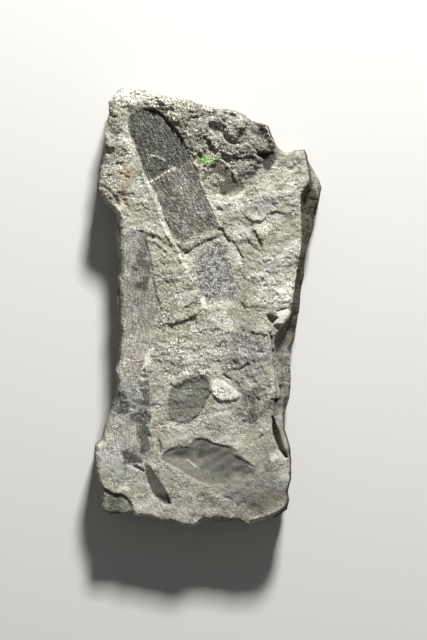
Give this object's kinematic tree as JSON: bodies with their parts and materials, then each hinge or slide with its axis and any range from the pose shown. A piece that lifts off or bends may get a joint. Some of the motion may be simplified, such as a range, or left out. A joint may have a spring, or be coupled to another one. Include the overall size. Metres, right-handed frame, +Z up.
{
  "type": "fossil leaf plate",
  "caption": "Thin split slab of grey siltstone with the sunk prints of strap-shaped fossil leaves on its face, lying on its flat back.",
  "frame": {"origin": "on the resting plane, under the middle of the plate's outline", "axes": "+Z up out of the printed face, +Y along the plate's long side towards the end with the leaf tip, +X to the right seen from above"},
  "size_m": [0.0995, 0.1908, 0.0308],
  "materials": {
    "siltstone": "rough broken stone, matt"
  },
  "bodies": {
    "root": {"plate": "siltstone"}
  },
  "joints": []
}
